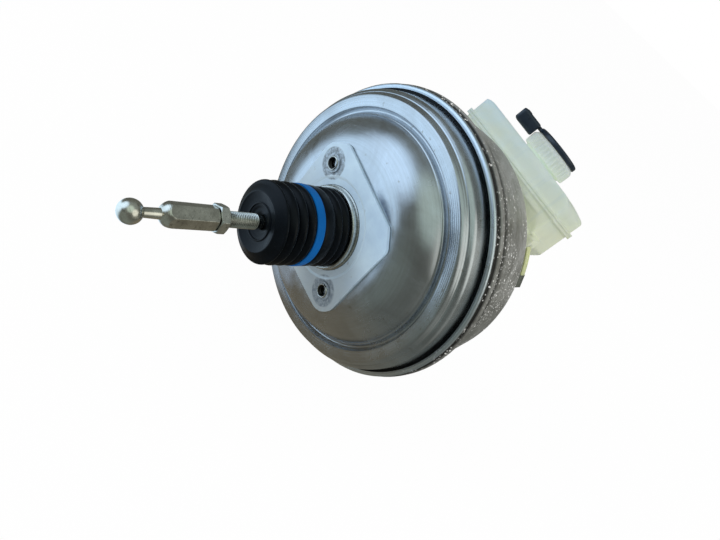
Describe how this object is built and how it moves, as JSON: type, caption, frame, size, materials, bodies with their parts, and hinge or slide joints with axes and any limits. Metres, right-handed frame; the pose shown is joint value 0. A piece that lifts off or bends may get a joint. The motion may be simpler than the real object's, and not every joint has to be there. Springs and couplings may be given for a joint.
{
  "type": "brake booster",
  "caption": "Vacuum brake booster with ball-ended push rod, bellows boot, two-hole firewall plate, master cylinder and fluid reservoir with a ribbed cap.",
  "frame": {"origin": "where the booster axis meets the outer face of the firewall plate, midway between the two mounting holes", "axes": "+Y along the booster axis from the pedal to the master cylinder, +Z square to it on the side of the filler cap, +X to the right seen along +Y; the tank's own up direction leans 18 degrees from +Z towards +Y"},
  "size_m": [0.252, 0.4546, 0.2635],
  "materials": {
    "shell_polished": "polished, spun",
    "shell_dull": "satin, dusty",
    "plate_white": "matt",
    "zinc": "zinc plated, satin",
    "steel": "satin",
    "yellow_zinc": "passivated",
    "rubber_black": "matt",
    "band_blue": "satin",
    "plastic_black": "satin",
    "plastic_grey": "satin",
    "plastic_cream": "satin",
    "tank_milky": "translucent",
    "strap_yellow": "satin",
    "cast_alloy": "cast",
    "anodised": "anodised",
    "felt": "felt",
    "cork": "matt"
  },
  "bodies": {
    "housing": {"rear_shell": "shell_polished", "front_shell": "shell_dull", "firewall_plate": "plate_white", "neck_ring": "steel", "tie_bolts": "zinc", "guide_bearing": "plastic_cream", "guide_seal": "rubber_black", "boot": "rubber_black", "return_spring": "steel", "check_grommet": "rubber_black", "mc_seal": "rubber_black", "mc_body": "cast_alloy", "mc_nuts": "zinc", "mc_guide": "plastic_grey", "snap_ring": "steel", "port_grommets": "rubber_black", "reservoir_lower": "tank_milky", "reservoir_upper": "tank_milky", "strap_tab": "steel", "hold_down_strap": "strap_yellow", "secondary_spring": "steel"},
    "power_unit": {"valve_body": "plastic_grey", "diaphragm_plate": "yellow_zinc", "diaphragm": "rubber_black", "tie_seals": "rubber_black", "stop_key": "steel", "air_filter": "felt", "silencer": "felt", "reaction_disc": "rubber_black", "output_rod": "steel", "poppet_valve": "rubber_black", "poppet_spring": "steel", "poppet_retainer": "yellow_zinc", "rod_spring": "steel"},
    "plunger": {"valve_plunger": "steel"},
    "push_rod": {"input_rod": "zinc"},
    "lock_nut": {"jam_nut": "zinc"},
    "ball_end": {"ball_sleeve": "zinc"},
    "band": {"boot_band": "band_blue"},
    "primary": {"primary_piston": "anodised", "primary_cups": "rubber_black", "primary_spring": "steel"},
    "secondary": {"secondary_piston": "anodised", "secondary_cups": "rubber_black"},
    "vacuum_elbow": {"check_valve": "plastic_black", "check_spring": "steel"},
    "check_flap": {"check_disc": "rubber_black"},
    "sensor": {"level_sensor": "plastic_black", "sensor_stem": "plastic_grey", "cap_seal": "rubber_black", "strainer": "plastic_cream"},
    "cap": {"cap_ring": "tank_milky"},
    "float_ring": {"float": "cork"}
  },
  "joints": [
    {"name": "pedal_stroke", "type": "slide", "parent": "housing", "child": "power_unit", "axis": [0, 1, 0], "range_m": [0, 0.036], "deforming": ["boot", "diaphragm", "return_spring"]},
    {"name": "valve_travel", "type": "slide", "parent": "power_unit", "child": "plunger", "axis": [0, 1, 0], "range_m": [0, 0.001], "deforming": ["poppet_spring", "rod_spring"]},
    {"name": "rod_swing", "type": "hinge", "parent": "plunger", "child": "push_rod", "pos_m": [0, 0.016, 0], "axis": [1, 0, 0], "range_deg": [-2.5, 2.5]},
    {"name": "lock_nut_turn", "type": "hinge", "parent": "push_rod", "child": "lock_nut", "pos_m": [0, -0.102, 0], "axis": [0, 1, 0], "continuous": true},
    {"name": "ball_end_turn", "type": "hinge", "parent": "push_rod", "child": "ball_end", "pos_m": [0, -0.12, 0], "axis": [0, 1, 0], "continuous": true},
    {"name": "band_ride", "type": "slide", "parent": "housing", "child": "band", "axis": [0, 1, 0], "range_m": [0, 0.0162]},
    {"name": "primary_travel", "type": "slide", "parent": "housing", "child": "primary", "axis": [0, 1, 0], "range_m": [0, 0.036], "deforming": ["primary_spring"]},
    {"name": "secondary_travel", "type": "slide", "parent": "housing", "child": "secondary", "axis": [0, 1, 0], "range_m": [0, 0.018], "deforming": ["secondary_spring"]},
    {"name": "elbow_swivel", "type": "hinge", "parent": "housing", "child": "vacuum_elbow", "pos_m": [-0.036, 0.15, -0.036], "axis": [0, 1, 0], "range_deg": [-80, 80]},
    {"name": "flap_lift", "type": "slide", "parent": "vacuum_elbow", "child": "check_flap", "axis": [0, 1, 0], "range_m": [0, 0.0015], "deforming": ["check_spring"]},
    {"name": "sensor_lift", "type": "slide", "parent": "housing", "child": "sensor", "axis": [0, 0.309, 0.9511], "range_m": [0, 0.075]},
    {"name": "cap_turn", "type": "hinge", "parent": "sensor", "child": "cap", "pos_m": [0.004, 0.18414, 0.11366], "axis": [0, 0.309, 0.9511], "continuous": true},
    {"name": "float_travel", "type": "slide", "parent": "sensor", "child": "float_ring", "axis": [0, 0.309, 0.9511], "range_m": [-0.02, 0]}
  ],
  "couplings": [
    {"joint": "band_ride", "follows": "pedal_stroke", "ratio": 0.45},
    {"joint": "primary_travel", "follows": "pedal_stroke", "ratio": 1},
    {"joint": "secondary_travel", "follows": "pedal_stroke", "ratio": 0.5}
  ]
}
